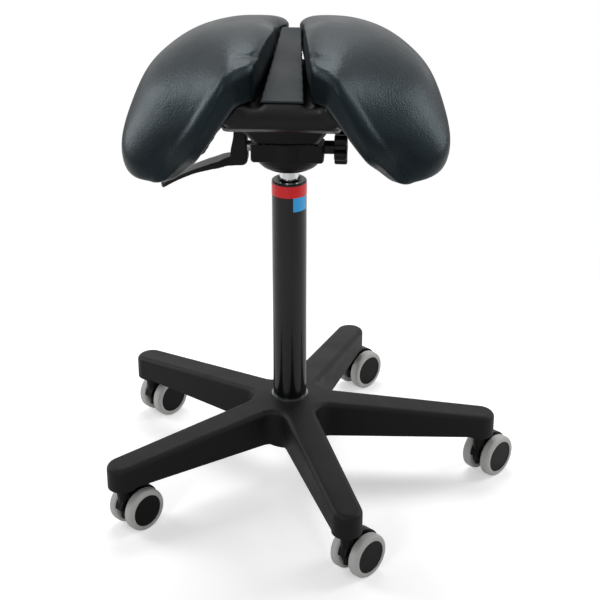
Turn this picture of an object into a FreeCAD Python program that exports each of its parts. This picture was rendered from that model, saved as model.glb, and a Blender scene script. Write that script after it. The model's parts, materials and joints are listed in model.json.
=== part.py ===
"""Saddle stool: five-star castor base, gas-lift column, tilting split saddle seat.

Frame: the origin lies on the floor at the column's axis, +Z is up, the sitter faces -Y,
and the tilt knob is on the +X side with the height lever on the -X side.
"""
import FreeCAD, Part
import math
import os
import re
import Sketcher

V = FreeCAD.Vector
UP = V(0, 0, 1)
ACROSS = V(1, 0, 0)
BACK = V(0, 1, 0)

doc = FreeCAD.newDocument("SaddleStool")

# Driving dimensions, in millimetres and degrees
SIZES = [
    ("running_gap", 0.05, "radial clearance of a running fit"),
    ("face_gap", 0.3, "gap between faces that move on each other"),
    ("soft_gap", 0.3, "gap between a pad and the hard piece beside it"),
    ("arm_count", 5, "arms of the base, one castor each"),
    ("arm_turn", 1.5, "direction of the first arm from +X"),
    ("castor_circle", 290, "distance of each castor stem from the column axis"),
    ("castor_turn", 49, "direction in which the castor wheels trail"),
    ("castor_trail", 23.8, "distance from castor stem to castor axle"),
    ("wheel_radius", 32.5, "castor wheel radius over the tread"),
    ("wheel_width", 16, "width of one castor wheel"),
    ("wheel_side_gap", 2, "gap between a wheel and the castor's web"),
    ("tread_depth", 8, "thickness of the soft tread on its hub"),
    ("tread_round", 5, "rounding of the tread's shoulders"),
    ("disc_recess", 1.2, "how far the hub's face lies inside the tread's side"),
    ("axle_radius", 4, "castor axle radius"),
    ("axle_grip", 5, "how far the castor axle reaches past a wheel's middle"),
    ("web_width", 14, "width of the castor body between its wheels"),
    ("hood_gap", 2.3, "how far the castor's hood stands over the wheels"),
    ("hood_rise", 6, "height of the hood's lower edge over the axle"),
    ("carrier_radius", 19, "radius of the castor body round its axle"),
    ("horn_top_radius", 10.5, "castor horn radius at its top"),
    ("horn_foot_radius", 4.5, "castor horn radius at its foot"),
    ("horn_drop", 10.5, "how far the castor's horn reaches below the axle"),
    ("stem_radius", 5.5, "castor stem radius"),
    ("stem_collar_radius", 9, "radius of the collar on the castor stem"),
    ("stem_collar", 1.8, "thickness of the collar on the castor stem"),
    ("stem_insert", 26, "length of the stem inside the arm's socket"),
    ("stem_drop", 22, "length of the stem inside the castor body"),
    ("socket_wall", 1.5, "wall of the steel socket in the arm's end"),
    ("socket_length", 30, "length of the steel socket"),
    ("hood_clear", 8, "gap between the castor's hood and the arm's end"),
    ("arm_step", 3.7, "how far the arm's lower edge lies over the arm's end"),
    ("arm_hub_half", 24.5, "half width of an arm at the hub"),
    ("arm_tip_half", 21.5, "half width of an arm at its end"),
    ("arm_rise_hub", 62, "height of an arm at the hub"),
    ("arm_rise_tip", 34.5, "height of an arm at the castor stem"),
    ("crotch_radius", 23, "fillet between two arms"),
    ("arm_round", 8, "rounding along the arms' top edges"),
    ("arm_wall", 5, "wall of the hollow arms"),
    ("arm_pocket", 24, "depth of the hollows under the arms"),
    ("hub_radius", 45, "radius of the base's hub underneath"),
    ("hub_drop", 11, "how far the hub's underside lies below the arms"),
    ("sleeve_wall", 2.5, "wall of the steel sleeve in the hub"),
    ("column_radius", 25, "outer radius of the column tube"),
    ("column_wall", 2, "wall of the column tube"),
    ("column_length", 422.5, "length of the column tube"),
    ("column_drop", 6, "how far the column reaches below the hub"),
    ("column_taper", 1.2, "how much the tube narrows inside the hub"),
    ("tube_floor", 5, "thickness of the tube's bottom plate"),
    ("lift_radius", 14, "radius of the gas spring's pressure cylinder"),
    ("lift_wall", 1.6, "wall of the pressure cylinder"),
    ("lift_room", 30, "room between the tube's underside and the cylinder, at the lowest setting"),
    ("taper_length", 42.5, "length of the cylinder inside the tilt housing"),
    ("lift_cap", 12, "length of the cylinder's end plugs"),
    ("lift_taper", 0.8, "how much the cylinder's upper end narrows in the housing"),
    ("lift_stroke", 195, "travel of the gas spring"),
    ("bush_length", 92, "length of the guide bush in the column's mouth"),
    ("bush_rim", 1.2, "height of the bush's rim over the tube"),
    ("rim_inset", 1.4, "how far the bush's rim stays inside the tube's outside"),
    ("mouth_flare", 4.5, "how far the dished mouth flares out round the cylinder"),
    ("bush_mouth_depth", 4, "depth of the dished mouth in the bush"),
    ("rod_radius", 4, "piston rod radius"),
    ("piston_spare", 9, "room left under the piston at full lift"),
    ("rod_tail", 9, "length of the rod below the tube's bottom plate"),
    ("piston_height", 14, "height of the piston"),
    ("race_radius", 13, "radius of the thrust bearing"),
    ("race_height", 2, "thickness of each thrust race"),
    ("ball_radius", 2, "thrust bearing ball radius"),
    ("ball_count", 10, "balls in the thrust bearing"),
    ("clip_radius", 8, "radius of the rod's retaining clip"),
    ("clip_height", 2, "thickness of the retaining clip"),
    ("pin_radius", 3.5, "radius of the gas spring's release pin"),
    ("pin_reach", 8, "how far the release pin stands over the cylinder"),
    ("pin_depth", 30, "length of the release pin inside the cylinder"),
    ("band_height", 17.5, "height of the coloured band on the column"),
    ("band_drop", 2, "distance from the tube's rim to the band"),
    ("band_wall", 0.3, "thickness of the band and of the label"),
    ("label_height", 21, "height of the label patch"),
    ("label_width", 24, "width of the label patch round the tube"),
    ("label_turn", -46, "direction of the label patch from +X"),
    ("cup_radius", 48, "radius of the tilt housing's bowl"),
    ("cup_gap", 19, "gap between the column and the tilt housing, at the lowest setting"),
    ("cup_foot_radius", 19, "radius of the flat under the tilt housing"),
    ("bowl_depth", 22, "depth of the housing's rounded bottom"),
    ("cup_height", 48, "height of the tilt housing"),
    ("cup_wall", 4, "wall of the tilt housing"),
    ("boss_wall", 5, "wall of the taper boss inside the housing"),
    ("ear_step", 3, "how far the housing's ears stand out over its bowl"),
    ("ear_radius", 17, "half depth of the housing's ears round the bolt"),
    ("ear_drop", 20, "how far the ears reach below the bolt"),
    ("ear_wall", 9, "thickness of each ear"),
    ("ear_round", 5, "rounding of the ears' corners"),
    ("tilt_back", -28, "place of the tilt bolt along Y"),
    ("bolt_drop", 7, "how far the tilt bolt lies below the housing's rim"),
    ("bolt_radius", 4, "tilt bolt radius"),
    ("bolt_head_radius", 7.5, "tilt bolt head radius"),
    ("bolt_head", 5, "tilt bolt head thickness"),
    ("bolt_thread", 23, "length of the tilt bolt past the ear"),
    ("washer_wall", 1.2, "thickness of each friction washer"),
    ("washer_radius", 11, "friction washer radius"),
    ("cheek_wall", 3, "thickness of the pan's cheek plates"),
    ("cheek_radius", 11, "radius of the cheek plates round the bolt"),
    ("pan_height", 27, "height of the seat pan"),
    ("pan_rise", 47, "height of the seat pan's top over the tilt bolt"),
    ("pan_wall", 3, "wall of the seat pan"),
    ("pan_inset", 9, "how far the seat pan's side lies inside the shell's middle block"),
    ("pan_draw", 17, "how far the seat pan's side draws in at its lower edge"),
    ("pan_front_top", -93, "place of the pan's front edge at its top"),
    ("pan_front_foot", -74, "place of the pan's front edge at its foot"),
    ("pan_back_top", 80, "place of the pan's back edge at its top"),
    ("pan_back_foot", 64, "place of the pan's back edge at its foot"),
    ("pan_round", 9, "rounding of the pan's corners"),
    ("knob_hub_radius", 9.5, "radius of the star knob's hub"),
    ("knob_hub", 14, "length of the star knob's hub"),
    ("knob_grip", 18, "thickness of the star knob's grip"),
    ("knob_core_radius", 17, "radius of the grip between its lobes"),
    ("knob_lobe_radius", 8, "radius of one lobe"),
    ("knob_reach", 24.5, "radius of the star knob over its lobes"),
    ("knob_lobes", 5, "lobes of the star knob"),
    ("lever_inset", 4, "how far the lever's pin lies inside the shell's side"),
    ("pin_rise", 7.6, "height of the lever's pin over its finger's underside"),
    ("lever_pin_radius", 3, "lever pin radius"),
    ("lever_play", 2.4, "gap between the lever's finger and the release pin"),
    ("finger_wall", 3, "thickness of the lever's steel finger"),
    ("finger_half", 5, "half width of the lever's steel finger"),
    ("finger_past", 5, "how far the finger reaches past the column's axis"),
    ("knuckle_half", 9.5, "half width of the lever's knuckle"),
    ("knuckle_drop", 56, "how far the knuckle reaches below the lever's pin"),
    ("paddle_half", 13, "half width of the lever's paddle"),
    ("paddle_reach", 116, "distance from the lever's pin to the paddle's tip"),
    ("paddle_fall", 36, "how far the paddle's tip lies below the knuckle"),
    ("paddle_wall", 8, "thickness of the paddle"),
    ("fork_wall", 3, "thickness of the lever bracket's ears"),
    ("strip_front", -131, "place of the centre strip's front edge"),
    ("strip_crest", 47, "place where the centre strip turns down to the back"),
    ("strip_back", 124, "place of the centre strip's back edge"),
    ("ridge_front", 5.5, "height of the shell's ridge at its front"),
    ("strip_climb", 46.5, "rise of the centre strip from its front to its crest"),
    ("strip_fall", 33, "fall of the centre strip from its crest to its back"),
    ("crest_bend", 23, "length of the round bend behind the strip's crest"),
    ("crest_sag", 3.3, "fall of the strip over the round bend"),
    ("crest_bulge", 1, "how far the round bend rises over the crest"),
    ("strip_front_half", 29, "half width of the centre strip at its front"),
    ("strip_crest_half", 15, "half width of the centre strip at its crest"),
    ("strip_back_half", 6, "half width of the centre strip at its back"),
    ("strip_wall", 3, "thickness of the centre strip"),
    ("ridge_inset", 1, "how far the shell's ridge stays inside the strip"),
    ("shell_wall", 9, "thickness of the shell's wings under the pads"),
    ("shell_inset", 12, "how far the shell's wings stay inside the pads"),
    ("nose_half", 72, "half width of the shell's middle block"),
    ("block_height", 42.5, "height of the shell's middle block"),
    ("nose_front", -133, "place of the shell's nose"),
    ("nose_lip", 24, "height of the nose's foremost line over the shell's foot"),
    ("nose_tuck", 25, "how far the shell's foot lies behind the nose"),
    ("nose_bevel", 6, "how far the nose's lower line lies behind its foremost line"),
    ("nose_bevel_rise", 11, "height of the nose's lower line"),
    ("nose_lean", 2, "how far the nose's upper edge leans back"),
    ("nose_back", 98, "place of the middle block's back"),
    ("back_bevel", 20, "bevel under the middle block's back"),
    ("foot_bevel", 3, "bevel along the middle block's foot"),
    ("foot_rise", 6, "height of the bevel along the middle block's foot"),
    ("side_lean", 6, "how far the middle block's sides lean in"),
    ("shoulder_in", 22, "how far the middle block's top lies inside its sides"),
    ("shoulder_drop", 16, "height of the slope along the middle block's top"),
    ("screw_radius", 3, "pan screw radius"),
    ("screw_head_radius", 6, "pan screw head radius"),
    ("screw_head", 3, "pan screw head height"),
    ("screw_length", 14, "pan screw length"),
    ("screw_across", 38, "distance of the pan screws from the middle"),
    ("screw_front", -58, "place of the front pan screws"),
    ("screw_back", 48, "place of the back pan screws"),
    ("pad_corner", 17, "rounding of the pads' upper edges"),
    ("pad_hem", 12, "rounding of the pads' lower edges"),
    ("pad_draw_in", 5, "how far the pads' sides draw in at their foot"),
]

# Sizes that follow from those above
DERIVED = {
    "wheel_spacing": "web_width + wheel_width + 2 * wheel_side_gap",
    "axle_length": "wheel_spacing + 2 * axle_grip",
    "axle_height": "wheel_radius",
    "hood_radius": "wheel_radius + hood_gap",
    "horn_foot_height": "axle_height - horn_drop",
    "tip_height": "axle_height + hood_radius + hood_clear",
    "horn_top": "tip_height - stem_collar - face_gap",
    "arm_foot": "tip_height + arm_step",
    "arm_top_hub": "arm_foot + arm_rise_hub",
    "arm_top_tip": "arm_foot + arm_rise_tip",
    "hub_foot": "arm_foot - hub_drop",
    "column_foot": "hub_foot - column_drop",
    "column_top": "column_foot + column_length",
    "bush_rim_radius": "column_radius - rim_inset",
    "bush_mouth_radius": "lift_radius + mouth_flare",
    "lift_foot": "column_foot + lift_room",
    "rod_top": "lift_foot + lift_cap + lift_stroke + piston_spare + piston_height",
    "cup_foot": "column_top + cup_gap",
    "lift_top": "cup_foot + taper_length",
    "pin_top": "lift_top + pin_reach",
    "cup_shoulder": "cup_foot + bowl_depth",
    "cup_rim": "cup_foot + cup_height",
    "boss_radius": "lift_radius + boss_wall",
    "ear_half": "cup_radius + ear_step",
    "tilt_height": "cup_rim - bolt_drop",
    "bolt_reach": "ear_half + bolt_thread",
    "pan_top": "tilt_height + pan_rise",
    "finger_low": "pin_top + lever_play",
    "lever_pivot_height": "finger_low + pin_rise",
    "pan_half_top": "nose_half - pan_inset",
    "pan_half_foot": "pan_half_top - pan_draw",
    "lever_pivot_out": "nose_half - lever_inset",
    "knuckle_foot": "lever_pivot_height - knuckle_drop",
    "paddle_tip_out": "lever_pivot_out + paddle_reach",
    "paddle_tip_height": "knuckle_foot - paddle_fall",
    "block_top": "pan_top + block_height",
    "strip_front_height": "block_top + ridge_front + strip_wall",
    "strip_crest_height": "strip_front_height + strip_climb",
    "strip_back_height": "strip_crest_height - strip_fall",
}

sheet = doc.addObject("Spreadsheet::Sheet", "Dim")
for row, (alias, value, meaning) in enumerate(SIZES, start=1):
    sheet.set("A%d" % row, meaning)
    sheet.set("B%d" % row, str(value))
    sheet.setAlias("B%d" % row, alias)
doc.recompute()


class Sizes:
    """Reads a size by its name: a cell of the sheet, or one that follows from them."""

    def __getattr__(self, name):
        return float(sheet.evalExpression(formula(name)))


dim = Sizes()
ALIASES = {alias for alias, _, _ in SIZES}
PARTS = []


def formula(text):
    """Turns the names of sizes in a formula into references to the sheet."""

    def cells(match):
        name = match.group()
        if name in DERIVED:
            return "(" + formula(DERIVED[name]) + ")"
        return "Dim." + name if name in ALIASES else name

    return re.sub(r"[a-z_]+", cells, text)


def bind(item, **formulas):
    """Binds an object's properties to formulas; a double underscore stands for a dot."""
    for name, text in formulas.items():
        item.setExpression(name.replace("__", "."), formula(text))
    return item


def part(item, label):
    """Names a finished sub-part; its label is also its file's name."""
    item.Label = label
    PARTS.append(item)
    return item


def made(kind, name, **formulas):
    return bind(doc.addObject(kind, name), **formulas)


def rod(name, radius, length, turn=None, **place):
    """A round bar; it stands on Z unless turn lays it along another axis."""
    item = doc.addObject("Part::Cylinder", name)
    if turn:
        item.Placement.Rotation = FreeCAD.Rotation(turn[0], turn[1])
    return bind(item, Radius=radius, Height=length, **place)


ALONG_X = (BACK, 90)
ALONG_Y = (ACROSS, -90)


def fused(name, *items):
    result = doc.addObject("Part::MultiFuse", name)
    result.Shapes = list(items)
    return result


def cut(name, base, tool):
    result = doc.addObject("Part::Cut", name)
    result.Base = base
    result.Tool = tool
    return result


def common(name, base, tool):
    result = doc.addObject("Part::Common", name)
    result.Base = base
    result.Tool = tool
    return result


def origin_plane(body, role):
    return next(item for item in body.Origin.OriginFeatures if item.Role == role)


def sketch(body, name, role, corners, height=None):
    """A closed outline on an origin plane whose corners are pairs of formulas."""
    item = body.newObject("Sketcher::SketchObject", name)
    item.AttachmentSupport = [(origin_plane(body, role), "")]
    item.MapMode = "FlatFace"
    if height:
        item.setExpression("AttachmentOffset.Base.z", formula(height))
    formulas = [(formula(x), formula(y)) for x, y in corners]
    places = [V(float(item.evalExpression(x)), float(item.evalExpression(y)), 0) for x, y in formulas]
    for index, place in enumerate(places):
        item.addGeometry(Part.LineSegment(place, places[(index + 1) % len(places)]), False)
    for index in range(len(places)):
        item.addConstraint(Sketcher.Constraint("Coincident", index, 2, (index + 1) % len(places), 1))
    for index, (place, pair) in enumerate(zip(places, formulas)):
        for axis, value, text in (("DistanceX", place.x, pair[0]), ("DistanceY", place.y, pair[1])):
            number = item.addConstraint(Sketcher.Constraint(axis, -1, 1, index, 1, value))
            item.setExpression("Constraints[%d]" % number, text)
    return item


def turned(name, corners):
    """A body turned about Z from an outline of (radius, height) formulas."""
    body = doc.addObject("PartDesign::Body", name)
    feature = body.newObject("PartDesign::Revolution", name + "_turning")
    feature.Profile = sketch(body, name + "_profile", "XZ_Plane", corners)
    feature.ReferenceAxis = (next(f for f in body.Origin.OriginFeatures if f.Role == "Z_Axis"), [""])
    feature.Angle = 360
    return body


def rounded(body, radius, chosen, name):
    """Rounds the edges of a body's tip that the test picks, and returns how many there were."""
    doc.recompute()
    base = body.Tip
    edges = ["Edge%d" % (n + 1) for n, edge in enumerate(base.Shape.Edges) if chosen(edge)]
    feature = body.newObject("PartDesign::Fillet", name)
    feature.Base = (base, edges)
    bind(feature, Radius=radius)
    doc.recompute()
    return len(edges)


def fixed(name, shape, label):
    """A sub-part whose shape is worked out in code from the sheet."""
    item = doc.addObject("Part::Feature", name)
    item.Shape = shape
    return part(item, label)


def copies(source, label, places):
    """One sub-part made of several separate solids of the same shape."""
    doc.recompute()
    solids = []
    for place in places:
        solid = source.Shape.copy()
        solid.Placement = place.multiply(solid.Placement)
        solids.append(solid)
    return fixed(label + "_set", Part.makeCompound(solids), label)


arm_slope = (dim.arm_top_hub - dim.arm_top_tip) / dim.castor_circle


def arm_places():
    """The stem's place and turn for each castor, with the local +X along the trail."""
    for number in range(int(dim.arm_count)):
        turn = math.radians(dim.arm_turn + 360.0 / dim.arm_count * number)
        place = V(dim.castor_circle * math.cos(turn), dim.castor_circle * math.sin(turn), 0)
        yield FreeCAD.Placement(place, FreeCAD.Rotation(UP, dim.castor_turn))


# Castors, modelled once with the stem on Z and the trail along +X, then placed
def castor_body():
    web = rod("web_disc", "hood_radius", "web_width", turn=ALONG_Y, Placement__Base__x="castor_trail",
              Placement__Base__y="-web_width / 2", Placement__Base__z="axle_height")
    window = made("Part::Box", "hood_window", Length="4 * hood_radius", Width="2 * web_width",
                  Height="2 * hood_radius", Placement__Base__x="castor_trail - 2 * hood_radius",
                  Placement__Base__y="-web_width", Placement__Base__z="axle_height + hood_rise")
    carrier = rod("carrier", "carrier_radius", "web_width", turn=ALONG_Y, Placement__Base__x="castor_trail",
                  Placement__Base__y="-web_width / 2", Placement__Base__z="axle_height")
    horn = made("Part::Cone", "horn", Radius1="horn_foot_radius", Radius2="horn_top_radius",
                Height="horn_top - horn_foot_height", Placement__Base__z="horn_foot_height")
    bores = fused("castor_bores",
                  rod("stem_bore", "stem_radius + running_gap", "2 * stem_drop",
                      Placement__Base__z="horn_top - stem_drop"),
                  rod("axle_bore", "axle_radius", "2 * web_width", turn=ALONG_Y,
                      Placement__Base__x="castor_trail", Placement__Base__y="-web_width",
                      Placement__Base__z="axle_height"))
    solid = fused("castor_solid", common("hood", web, window), carrier, horn)
    return cut("castor_body_master", solid, bores)


def wheel_pieces():
    """Hub and tread of one wheel, on the Y axis with the outer face towards +Y."""
    half = "wheel_width / 2"
    rim = "(wheel_radius - tread_depth)"
    hub = turned("wheel_hub", [
        ("axle_radius + running_gap", "-" + half), (rim, "-" + half), (rim, half + " - disc_recess"),
        ("0", half + " - disc_recess"), ("0", "axle_length / 2 - wheel_spacing / 2 + face_gap"),
        ("axle_radius + running_gap", "axle_length / 2 - wheel_spacing / 2 + face_gap")])
    tread = turned("wheel_tread", [
        (rim, "-" + half), ("wheel_radius", "-" + half), ("wheel_radius", half), (rim, half)])
    rounded(tread, "tread_round", lambda edge: radius_is(edge, dim.wheel_radius), "tread_shoulders")
    return hub, tread


def radius_is(edge, radius):
    return isinstance(edge.Curve, Part.Circle) and abs(edge.Curve.Radius - radius) < 1e-3


def castors():
    body = castor_body()
    hub, tread = wheel_pieces()
    axle = rod("axle_master", "axle_radius", "axle_length", turn=ALONG_Y, Placement__Base__x="castor_trail",
               Placement__Base__y="-axle_length / 2", Placement__Base__z="axle_height")
    doc.recompute()
    outward = {"near": -1, "far": 1}
    for number, place in enumerate(arm_places(), start=1):
        for label, source in (("body", body), ("axle", axle)):
            item = fixed("castor_%d_%s_solid" % (number, label), source.Shape.copy(), "castor_%d_%s" % (number, label))
            item.Placement = place.multiply(item.Placement)
        for side, sign in outward.items():
            wheel = FreeCAD.Placement(V(dim.castor_trail, sign * dim.wheel_spacing / 2, dim.wheel_radius),
                                      FreeCAD.Rotation(ACROSS, -90 * sign))
            for label, source in (("hub", hub), ("tread", tread)):
                name = "castor_%d_%s_%s" % (number, side, label)
                item = fixed(name + "_solid", source.Shape.copy(), name)
                item.Placement = place.multiply(wheel)


def stems_and_sockets():
    stem = fused("stem_master",
                 rod("stem_bar", "stem_radius", "stem_drop - face_gap + stem_collar + stem_insert",
                     Placement__Base__z="tip_height - stem_collar - stem_drop + face_gap"),
                 rod("stem_flange", "stem_collar_radius", "stem_collar",
                     Placement__Base__z="tip_height - stem_collar"))
    socket = cut("socket_master",
                 rod("socket_bar", "stem_radius + socket_wall", "socket_length", Placement__Base__z="tip_height"),
                 rod("socket_hole", "stem_radius", "stem_insert", Placement__Base__z="tip_height"))
    copies(stem, "castor_stems", arm_places())
    copies(socket, "stem_sockets", arm_places())


# Base
def star_base():
    body = doc.addObject("PartDesign::Body", "base")
    arm = body.newObject("PartDesign::Pad", "arm")
    arm.Profile = sketch(body, "arm_plan", "XY_Plane", [
        ("0", "-arm_hub_half"), ("castor_circle", "-arm_tip_half"),
        ("castor_circle", "arm_tip_half"), ("0", "arm_hub_half")], height="arm_foot")
    bind(arm, Length="arm_top_hub - arm_foot")
    tip = body.newObject("PartDesign::AdditiveCylinder", "arm_end")
    bind(tip, Radius="arm_tip_half", Height="arm_top_hub - tip_height")
    tip.AttachmentSupport = [(origin_plane(body, "XY_Plane"), "")]
    tip.MapMode = "FlatFace"
    bind(tip, AttachmentOffset__Base__x="castor_circle", AttachmentOffset__Base__z="tip_height")
    star = body.newObject("PartDesign::PolarPattern", "arms")
    star.Originals = [arm, tip]
    star.Axis = (next(f for f in body.Origin.OriginFeatures if f.Role == "Z_Axis"), [""])
    star.Angle = 360
    bind(star, Occurrences="arm_count")
    body.Tip = star
    rounded(body, "crotch_radius", in_crotch, "crotches")
    slope = body.newObject("PartDesign::Groove", "top_slope")
    far = "(castor_circle + 3 * arm_tip_half)"
    slope.Profile = sketch(body, "slope_profile", "XZ_Plane", [
        ("0", "arm_top_hub"), (far, "arm_top_hub - (arm_top_hub - arm_top_tip) * %s / castor_circle" % far),
        (far, "arm_top_hub + arm_foot"), ("0", "arm_top_hub + arm_foot")])
    slope.ReferenceAxis = (next(f for f in body.Origin.OriginFeatures if f.Role == "Z_Axis"), [""])
    slope.Angle = 360
    rounded(body, "arm_round", on_top_edge, "top_edges")
    return body


def in_crotch(edge):
    """Upright edges where two arms meet."""
    if len(edge.Vertexes) != 2:
        return False
    low, high = edge.Vertexes[0].Point, edge.Vertexes[1].Point
    upright = math.hypot(low.x - high.x, low.y - high.y) < 1e-6
    reach = math.hypot(low.x, low.y)
    return upright and dim.arm_hub_half < reach < 2 * dim.arm_hub_half


def on_top_edge(edge):
    """The rim of the sloping top face, all round the star."""
    points = [edge.valueAt(edge.FirstParameter + (edge.LastParameter - edge.FirstParameter) * share)
              for share in (0.1, 0.5, 0.9)]
    for point in points:
        reach = math.hypot(point.x, point.y)
        if abs(point.z - (dim.arm_top_hub - arm_slope * reach)) > 0.2:
            return False
    return True


def base_pieces():
    star = star_base()
    doc.recompute()
    column_hole = turned("sleeve_seat", [
        ("0", "hub_foot - hub_foot / 4"),
        ("column_radius - column_taper + sleeve_wall", "hub_foot - hub_foot / 4"),
        ("column_radius - column_taper + sleeve_wall", "hub_foot"),
        ("column_radius + sleeve_wall", "arm_top_hub"),
        ("column_radius + sleeve_wall", "arm_top_hub * 1.2"), ("0", "arm_top_hub * 1.2")])
    sleeve = turned("sleeve", [
        ("column_radius - column_taper", "hub_foot"), ("column_radius", "arm_top_hub"),
        ("column_radius + sleeve_wall", "arm_top_hub"),
        ("column_radius - column_taper + sleeve_wall", "hub_foot")])
    part(sleeve, "hub_sleeve")
    hub = rod("hub_disc", "hub_radius", "arm_top_hub - arm_round - hub_foot", Placement__Base__z="hub_foot")
    doc.recompute()
    solid = star.Shape.copy()
    solid.rotate(V(0, 0, 0), UP, dim.arm_turn)
    solid = solid.fuse(hub.Shape).cut(column_hole.Shape)
    for number, place in enumerate(arm_places()):
        seat = Part.makeCylinder(dim.stem_radius + dim.socket_wall, dim.socket_length, V(0, 0, dim.tip_height))
        seat.Placement = place
        solid = solid.cut(seat)
        for hollow in arm_hollows(dim.arm_turn + 360.0 / dim.arm_count * number):
            solid = solid.cut(hollow)
    fixed("base_solid", solid.removeSplitter(), "star_base")


def arm_hollows(turn):
    """Two hollows under an arm, one on each side of its middle rib."""
    start = dim.hub_radius + dim.arm_wall
    end = dim.castor_circle - dim.arm_tip_half - dim.arm_wall
    run = end / dim.castor_circle
    half = dim.arm_hub_half + (dim.arm_tip_half - dim.arm_hub_half) * run - dim.arm_wall - 1
    rib = dim.arm_wall / 2
    for low in (rib, -half):
        hollow = Part.makeBox(end - start, half - rib, dim.arm_pocket, V(start, low, dim.arm_foot))
        hollow.rotate(V(0, 0, 0), UP, turn)
        yield hollow


# Column and gas spring
def column_pieces():
    inner = "(column_radius - column_wall)"
    part(turned("tube", [
        ("rod_radius + 2 * running_gap", "column_foot"), ("column_radius - column_taper", "column_foot"),
        ("column_radius - column_taper", "hub_foot"), ("column_radius", "arm_top_hub"),
        ("column_radius", "column_top"), (inner, "column_top"), (inner, "arm_top_hub"),
        (inner + " - column_taper", "column_foot + tube_floor"),
        ("rod_radius + 2 * running_gap", "column_foot + tube_floor")]), "column_tube")
    part(turned("bush", [
        ("lift_radius + running_gap", "column_top - bush_length"), (inner, "column_top - bush_length"),
        (inner, "column_top"), ("bush_rim_radius", "column_top"), ("bush_rim_radius", "column_top + bush_rim"),
        ("bush_mouth_radius", "column_top + bush_rim"),
        ("lift_radius + running_gap", "column_top + bush_rim - bush_mouth_depth")]), "guide_bush")
    part(turned("band", [
        ("column_radius", "column_top - band_drop - band_height"),
        ("column_radius + band_wall", "column_top - band_drop - band_height"),
        ("column_radius + band_wall", "column_top - band_drop"),
        ("column_radius", "column_top - band_drop")]), "colour_band")
    label_top = dim.column_top - dim.band_drop - dim.band_height
    reach = math.degrees(dim.label_width / dim.column_radius)
    patch = Part.makeCylinder(dim.column_radius + dim.band_wall, dim.label_height,
                              V(0, 0, label_top - dim.label_height), UP, reach)
    patch = patch.cut(Part.makeCylinder(dim.column_radius, dim.label_height, V(0, 0, label_top - dim.label_height)))
    patch.rotate(V(0, 0, 0), UP, dim.label_turn - reach / 2)
    fixed("label_solid", patch, "column_label")
    bearing_pieces()
    lift_pieces()


def bearing_pieces():
    """Thrust bearing on the tube's bottom plate, which the piston rod turns on."""
    floor = "(column_foot + tube_floor)"
    hole = "rod_radius + 2 * running_gap"
    part(turned("lower_race_ring", [
        (hole, floor), ("race_radius", floor), ("race_radius", floor + " + race_height"),
        (hole, floor + " + race_height")]), "lower_race")
    upper = floor + " + race_height + 2 * ball_radius + 2 * running_gap"
    part(turned("upper_race_ring", [
        ("rod_radius", upper), ("race_radius", upper), ("race_radius", upper + " + race_height"),
        ("rod_radius", upper + " + race_height")]), "upper_race")
    height = dim.column_foot + dim.tube_floor + dim.race_height + dim.ball_radius + dim.running_gap
    circle = (dim.rod_radius + dim.race_radius) / 2
    balls = []
    for number in range(int(dim.ball_count)):
        turn = 2 * math.pi * number / int(dim.ball_count)
        balls.append(Part.makeSphere(dim.ball_radius, V(circle * math.cos(turn), circle * math.sin(turn), height)))
    fixed("ball_set", Part.makeCompound(balls), "bearing_balls")
    below = "(column_foot - running_gap - clip_height)"
    part(turned("clip", [
        ("rod_radius", below), ("clip_radius", below), ("clip_radius", "column_foot - running_gap"),
        ("rod_radius", "column_foot - running_gap")]), "retaining_clip")


def lift_pieces():
    bar = rod("rod_bar", "rod_radius", "rod_top - column_foot + rod_tail",
              Placement__Base__z="column_foot - rod_tail")
    part(bar, "piston_rod")
    bore = "(lift_radius - lift_wall)"
    part(turned("piston_disc", [
        ("rod_radius", "rod_top - piston_height"), (bore + " - running_gap", "rod_top - piston_height"),
        (bore + " - running_gap", "rod_top"), ("rod_radius", "rod_top")]), "piston")
    taper = "(cup_foot - lift_wall)"
    cylinder = turned("lift_cylinder", [
        ("rod_radius + running_gap", "lift_foot"), ("lift_radius", "lift_foot"), ("lift_radius", taper),
        ("lift_radius - lift_taper", "lift_top"), ("pin_radius + running_gap", "lift_top"),
        ("pin_radius + running_gap", "lift_top - pin_depth - pin_reach"),
        (bore, "lift_top - pin_depth - pin_reach"), (bore, "lift_foot + lift_cap"),
        ("rod_radius + running_gap", "lift_foot + lift_cap")])
    part(cylinder, "pressure_cylinder")
    pin = rod("pin_bar", "pin_radius", "pin_reach + pin_depth", Placement__Base__z="lift_top - pin_depth")
    part(pin, "release_pin")


# Tilt mechanism under the seat. The bowl's rounded bottom has a corner every few degrees.
BOWL_STEP = 15


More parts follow.
